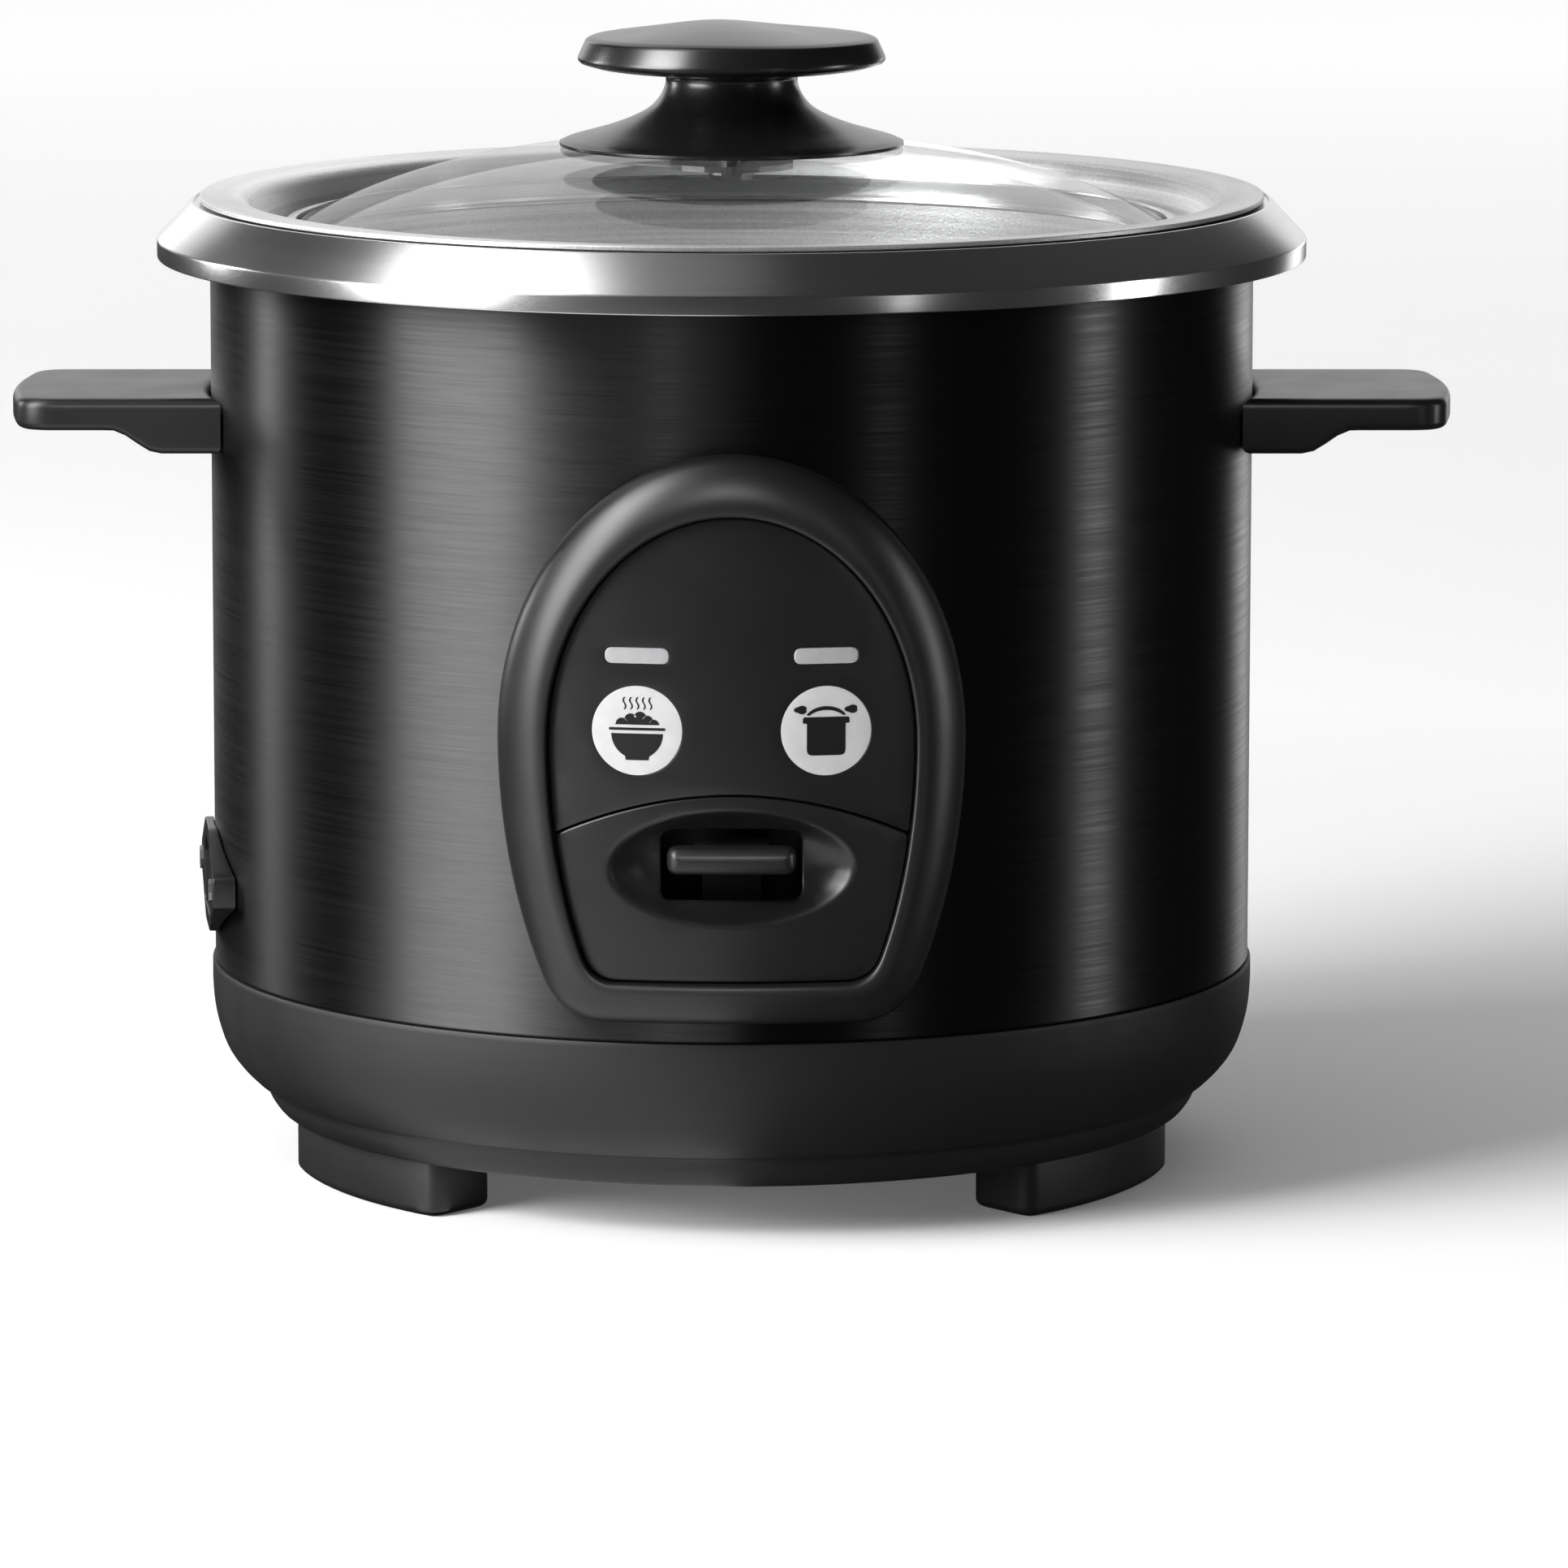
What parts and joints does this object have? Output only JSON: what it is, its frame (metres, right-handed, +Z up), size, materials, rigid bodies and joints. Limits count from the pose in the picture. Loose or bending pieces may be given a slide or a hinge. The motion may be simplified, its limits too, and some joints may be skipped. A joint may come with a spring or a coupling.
{
  "type": "rice cooker",
  "caption": "Drum rice cooker with a glass lid, a lift-out pot, side handles, an oval control panel with a cook lever, and a spring-loaded thermostat.",
  "frame": {"origin": "on the floor under the centre of the drum, which is the centre of the whole object's footprint box", "axes": "+Z up, -Y towards the front with the control panel, +X towards the handle on the viewer's right"},
  "size_m": [0.3046, 0.2422, 0.2422],
  "materials": {
    "black_steel": "black coated steel, brushed round the drum",
    "polished_steel": "polished stainless steel",
    "aluminium": "satin spun aluminium",
    "cast_aluminium": "cast, machined on top",
    "steel": "plain sheet steel",
    "glass": "clear tempered glass",
    "black_plastic": "satin black",
    "panel_plastic": "matte black",
    "lens": "frosted lens",
    "print": "white inlay with a black pictogram",
    "silicone": "translucent silicone",
    "insulator": "mica and ceramic insulation",
    "board": "phenolic paper board",
    "brass": "plain",
    "lead": "glass braid sleeve"
  },
  "bodies": {
    "housing": {"overflow_collar": "polished_steel", "outer_shell": "black_steel", "heat_shield": "aluminium", "base_housing": "black_plastic", "bottom_plate": "steel", "foot_front_left": "black_plastic", "foot_front_right": "black_plastic", "foot_rear": "black_plastic", "handle_left": "black_plastic", "handle_right": "black_plastic", "handle_screw_left": "steel", "handle_screw_right": "steel", "panel_bezel": "black_plastic", "indicator_panel": "panel_plastic", "switch_plate": "panel_plastic", "keep_warm_lens": "lens", "cook_lens": "lens", "keep_warm_disc": "print", "cook_disc": "print", "lamp_board": "board", "keep_warm_lamp": "glass", "cook_lamp": "glass", "inlet_housing": "black_plastic", "pin_live": "brass", "pin_neutral": "brass", "pin_earth": "brass", "inlet_screw_front": "steel", "inlet_screw_rear": "steel", "heating_plate": "cast_aluminium", "heating_element": "steel", "plate_post_1": "steel", "plate_post_2": "steel", "plate_post_3": "steel", "thermostat_frame": "steel", "switch_bracket": "steel", "lever_pin": "steel", "micro_switch": "panel_plastic", "keep_warm_heater": "insulator", "terminal_block": "insulator", "thermal_fuse": "steel", "lead_inlet_switch": "lead", "lead_inlet_element": "lead"},
    "pot": {"inner_pot": "aluminium"},
    "lid": {"lid_glass": "glass", "lid_hoop": "polished_steel", "vent_grommet": "steel", "knob_cap": "black_plastic", "knob_skirt": "black_plastic", "knob_gasket": "silicone", "knob_washer": "steel", "knob_screw": "steel"},
    "cook_lever": {"lever_arm": "steel", "lever_button": "black_plastic"},
    "magnet_lift": {"magnet": "steel", "magnet_rod": "steel", "return_spring": "steel"},
    "thermostat_sensor": {"sensor_cap": "aluminium", "ferrite_core": "steel", "sensor_spring": "steel"}
  },
  "joints": [
    {"name": "pot_lift", "type": "slide", "parent": "housing", "child": "pot", "axis": [0, 0, 1], "range_m": [0, 0.16]},
    {"name": "lid_lift", "type": "slide", "parent": "pot", "child": "lid", "axis": [0, 0, 1], "range_m": [0, 0.12]},
    {"name": "lever_pivot", "type": "hinge", "parent": "housing", "child": "cook_lever", "pos_m": [0, -0.058, 0.044], "axis": [1, 0, 0], "range_deg": [0, 6], "stiffness_Nm_per_rad": 0.2, "springref_deg": -17.19},
    {"name": "magnet_slide", "type": "slide", "parent": "housing", "child": "magnet_lift", "axis": [0, 0, 1], "range_m": [0, 0.0064], "deforming": ["return_spring"]},
    {"name": "sensor_slide", "type": "slide", "parent": "housing", "child": "thermostat_sensor", "axis": [0, 0, 1], "range_m": [-0.003, 0], "stiffness_N_per_m": 200, "springref_m": 0.004, "deforming": ["sensor_spring"]}
  ],
  "couplings": [
    {"joint": "magnet_slide", "follows": "lever_pivot", "m_per_rad": 0.058}
  ]
}
